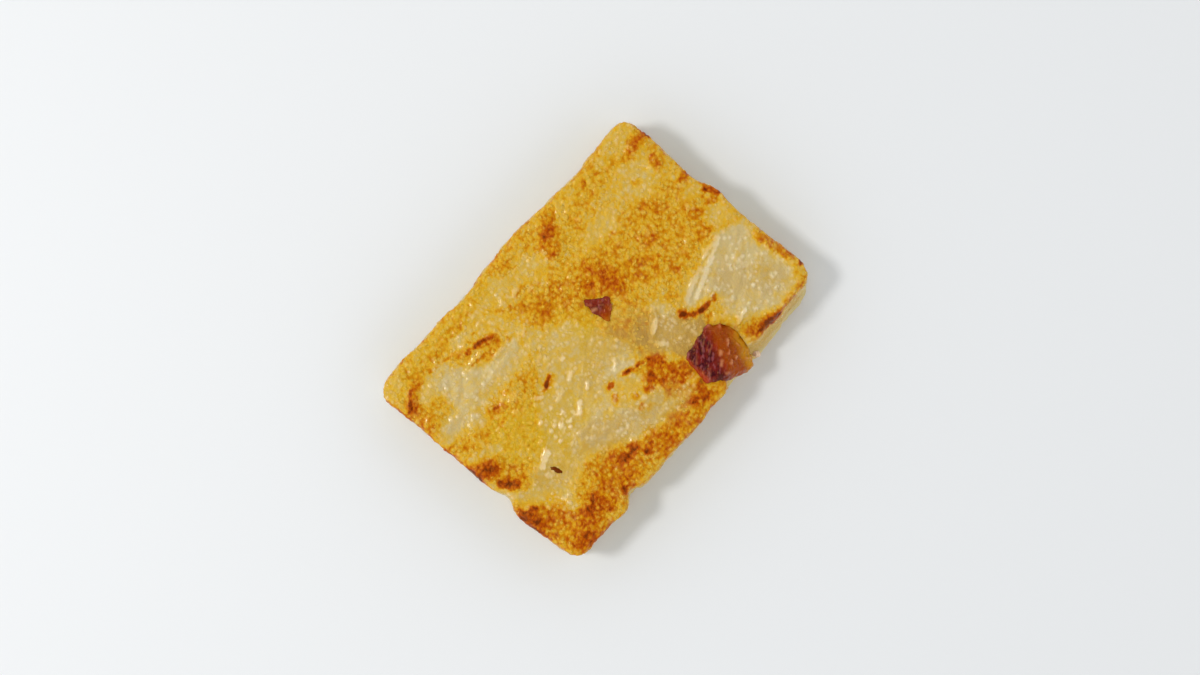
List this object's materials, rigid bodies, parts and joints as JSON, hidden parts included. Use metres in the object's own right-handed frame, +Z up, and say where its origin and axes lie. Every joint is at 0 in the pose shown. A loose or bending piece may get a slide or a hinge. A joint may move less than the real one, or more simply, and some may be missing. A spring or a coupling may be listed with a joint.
{
  "type": "fried radish cake slice",
  "caption": "Flat oblong slice of pan-fried radish cake with a golden crusted face, pale radish shreds and dice of cured sausage set in it.",
  "frame": {"origin": "bottom centre of the box round the slice, on the surface it lies on", "axes": "+X along the slice's long side, +Y across it, away from the side that holds the larger piece of sausage, +Z up out of the fried face"},
  "size_m": [0.0792, 0.0564, 0.0134],
  "materials": {
    "fried_cake": "golden brown fried crust with a thin film of oil, pale and translucent where the batter shows",
    "cured_sausage": "wet dark red cured sausage, amber where the fat shows"
  },
  "bodies": {
    "root": {"cake_slice": "fried_cake", "sausage_chunk": "cured_sausage", "sausage_bit": "cured_sausage"}
  },
  "joints": []
}
